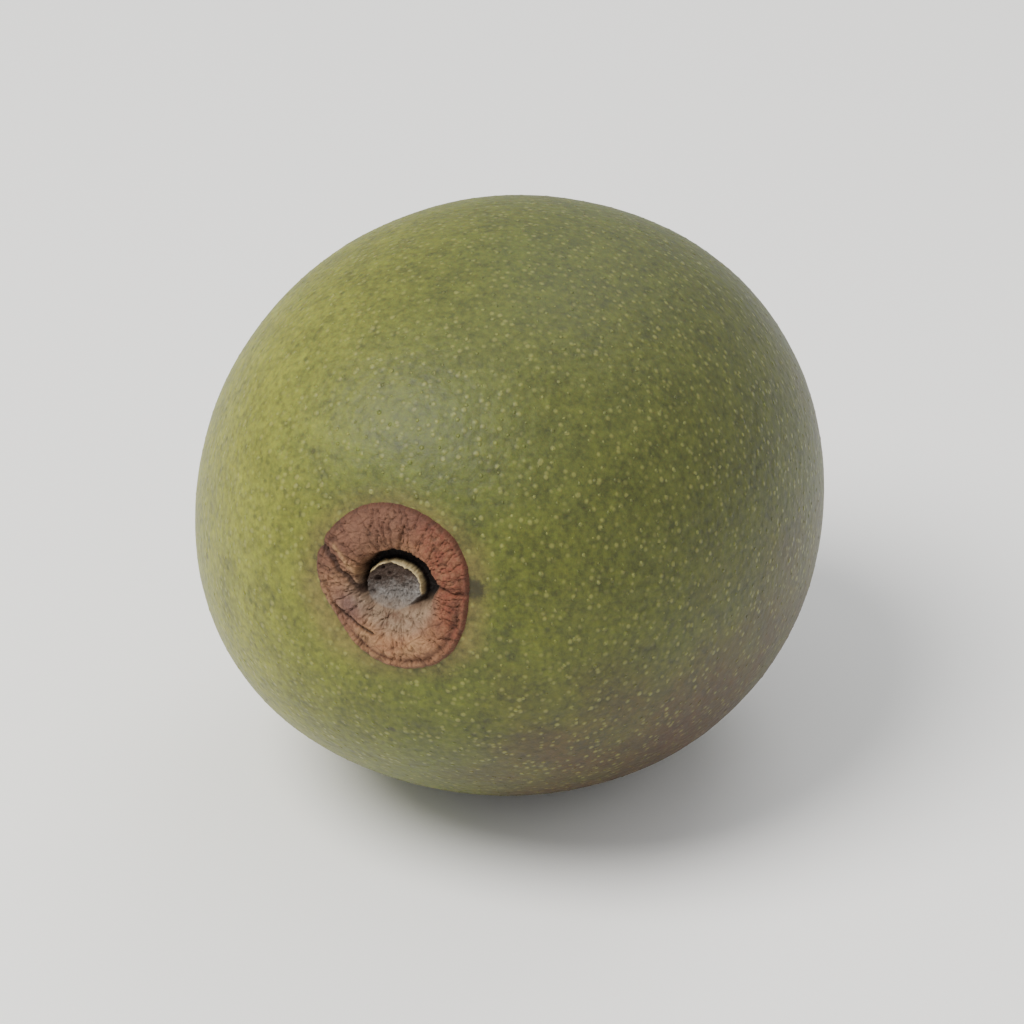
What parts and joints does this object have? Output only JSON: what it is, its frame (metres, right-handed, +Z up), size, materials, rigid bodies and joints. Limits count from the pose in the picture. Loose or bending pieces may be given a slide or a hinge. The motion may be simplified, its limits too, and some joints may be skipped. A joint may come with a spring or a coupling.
{
  "type": "kiwi fruit",
  "caption": "Whole smooth-skinned kiwi fruit lying on its side, with a corky stem scar at one end and a small blossom nub at the other.",
  "frame": {"origin": "on the surface that the fruit rests on, below the middle of the fruit's box", "axes": "+Z up, -Y towards the stem end, +Y towards the blossom end, +X to the right when looking along +Y"},
  "size_m": [0.0336, 0.0396, 0.0323],
  "materials": {
    "skin": "smooth, thin, satin fruit skin, olive green with fine pale speckles and a brown blush"
  },
  "bodies": {
    "root": {"kiwi_fruit": "skin"}
  },
  "joints": []
}
